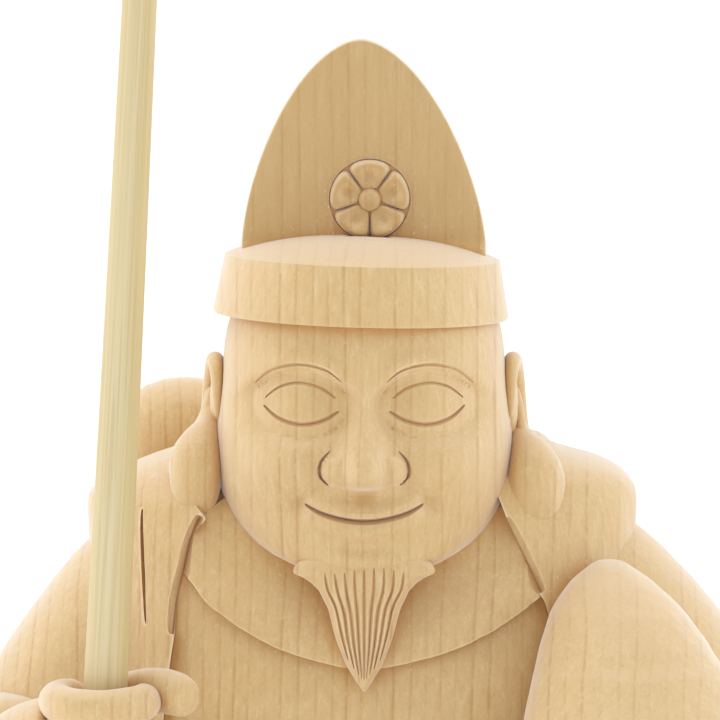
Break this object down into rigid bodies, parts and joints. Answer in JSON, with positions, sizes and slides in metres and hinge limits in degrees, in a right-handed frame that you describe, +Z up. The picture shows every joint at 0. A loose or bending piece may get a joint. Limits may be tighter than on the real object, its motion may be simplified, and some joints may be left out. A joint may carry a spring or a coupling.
{
  "type": "seated figure with fishing rod",
  "caption": "Seated wooden lucky-god figure in a pointed cap on a rock base, holding a fishing rod and a sea bream, for a shelf or alcove.",
  "frame": {"origin": "middle of the flat underside of the rock base", "axes": "+Z up, the figure looks along -Y, and +X is towards its left hand, the one with the fish"},
  "size_m": [0.1141, 0.0969, 0.1741],
  "materials": {
    "carved_wood": "bare fine-grained softwood, cut with sharp tools and left without a finish",
    "rod_wood": "smooth pale stick, straight grained and slightly greener than the figure"
  },
  "bodies": {
    "root": {"figure": "carved_wood", "fishing_rod": "rod_wood"}
  },
  "joints": []
}
